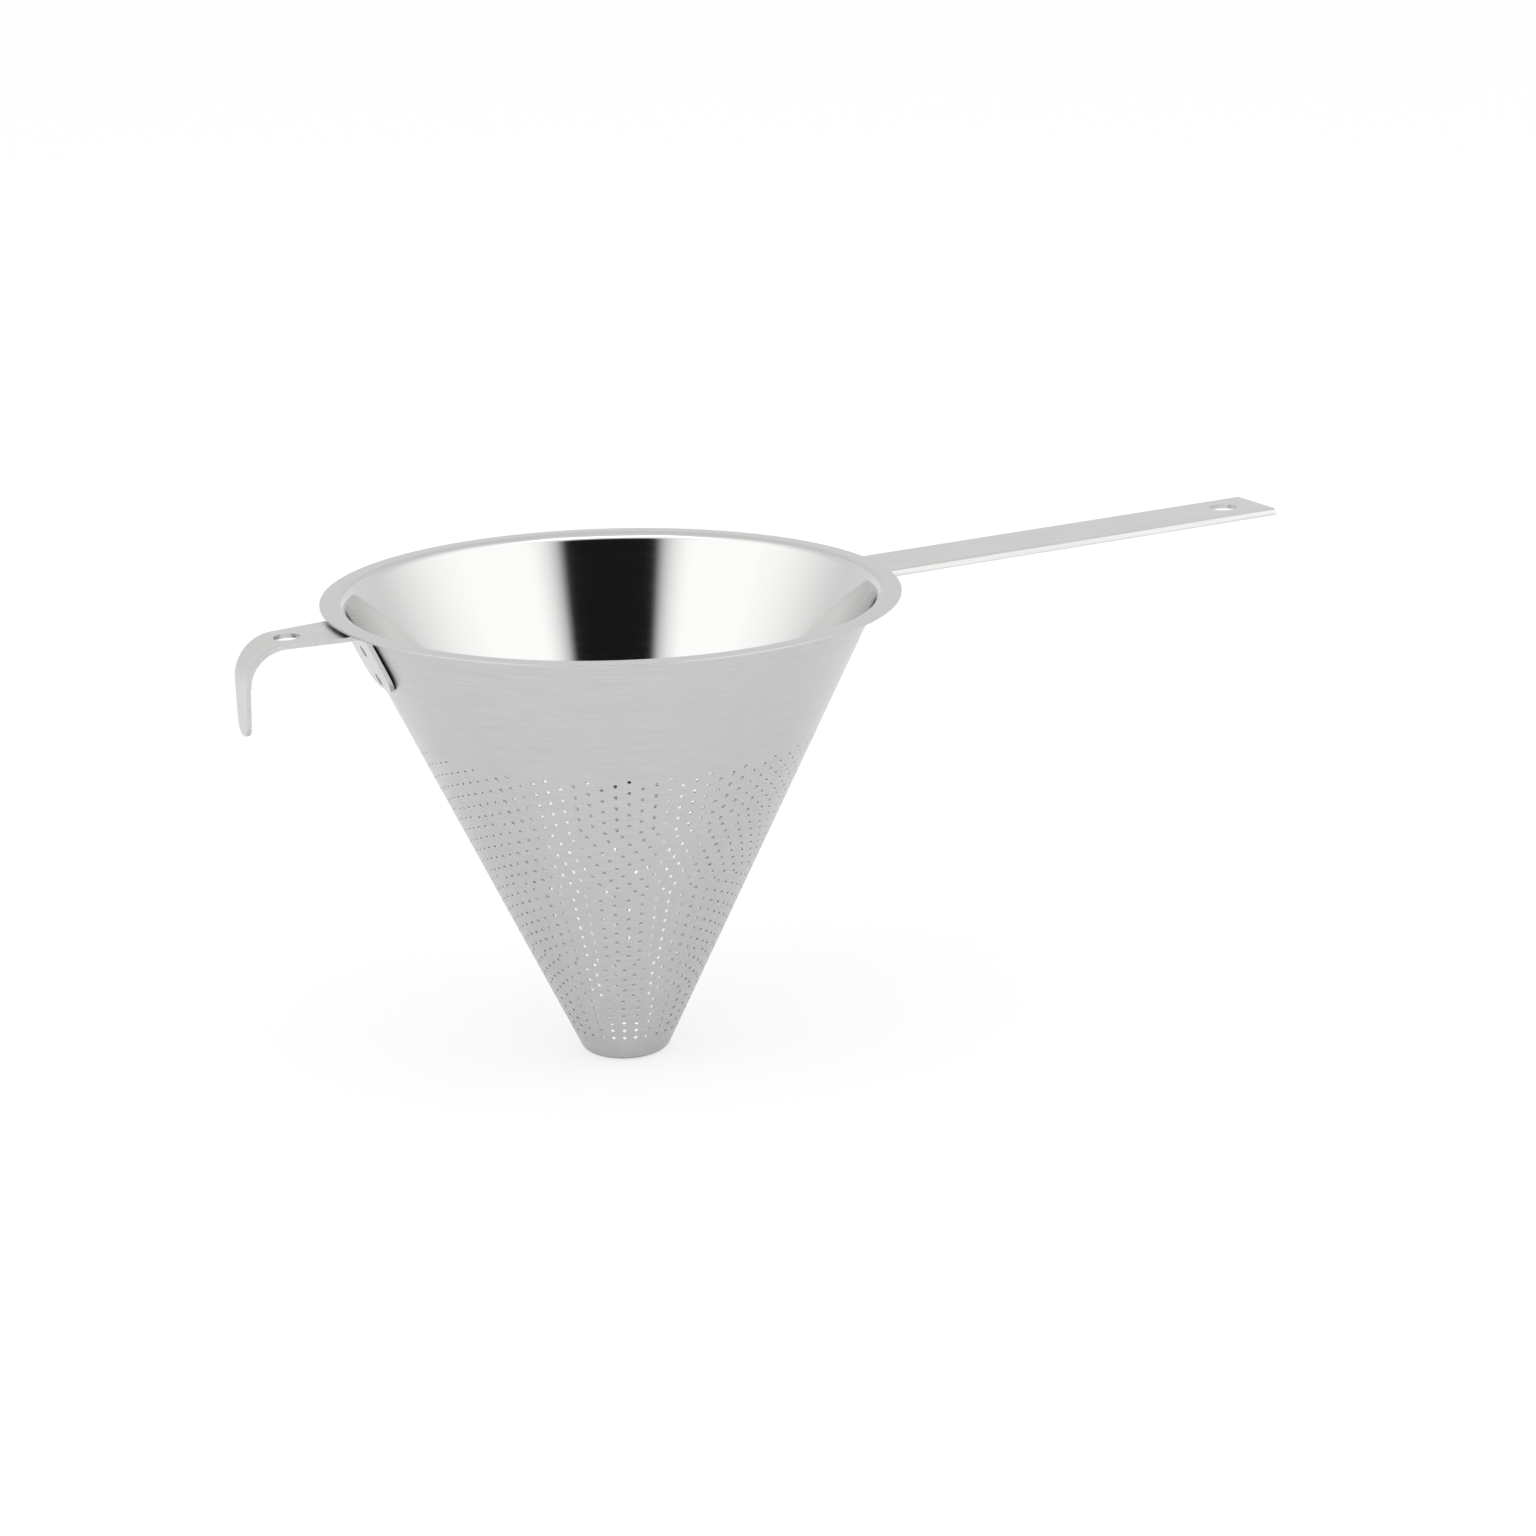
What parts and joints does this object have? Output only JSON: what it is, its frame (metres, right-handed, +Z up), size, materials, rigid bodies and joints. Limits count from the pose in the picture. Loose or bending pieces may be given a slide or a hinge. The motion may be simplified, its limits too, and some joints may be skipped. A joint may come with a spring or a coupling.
{
  "type": "chinois strainer",
  "caption": "Conical kitchen strainer of polished steel sheet with fine round perforations, a narrow flange, a long flat handle and a pot hook opposite it.",
  "frame": {"origin": "centre of the base's outer face, on the cone's axis", "axes": "+Z up the cone's axis to its mouth, +X along the handle, +Y across it"},
  "size_m": [0.3992, 0.2, 0.1725],
  "materials": {
    "body_steel": "stainless steel, mirror polished inside, fine circular satin outside",
    "strip_steel": "stainless steel, satin polished",
    "weld_steel": "stainless steel, spot welded, slightly dulled"
  },
  "bodies": {
    "root": {"strainer_body": "body_steel", "handle": "strip_steel", "pot_hook": "strip_steel", "handle_welds": "weld_steel", "hook_welds": "weld_steel"}
  },
  "joints": []
}
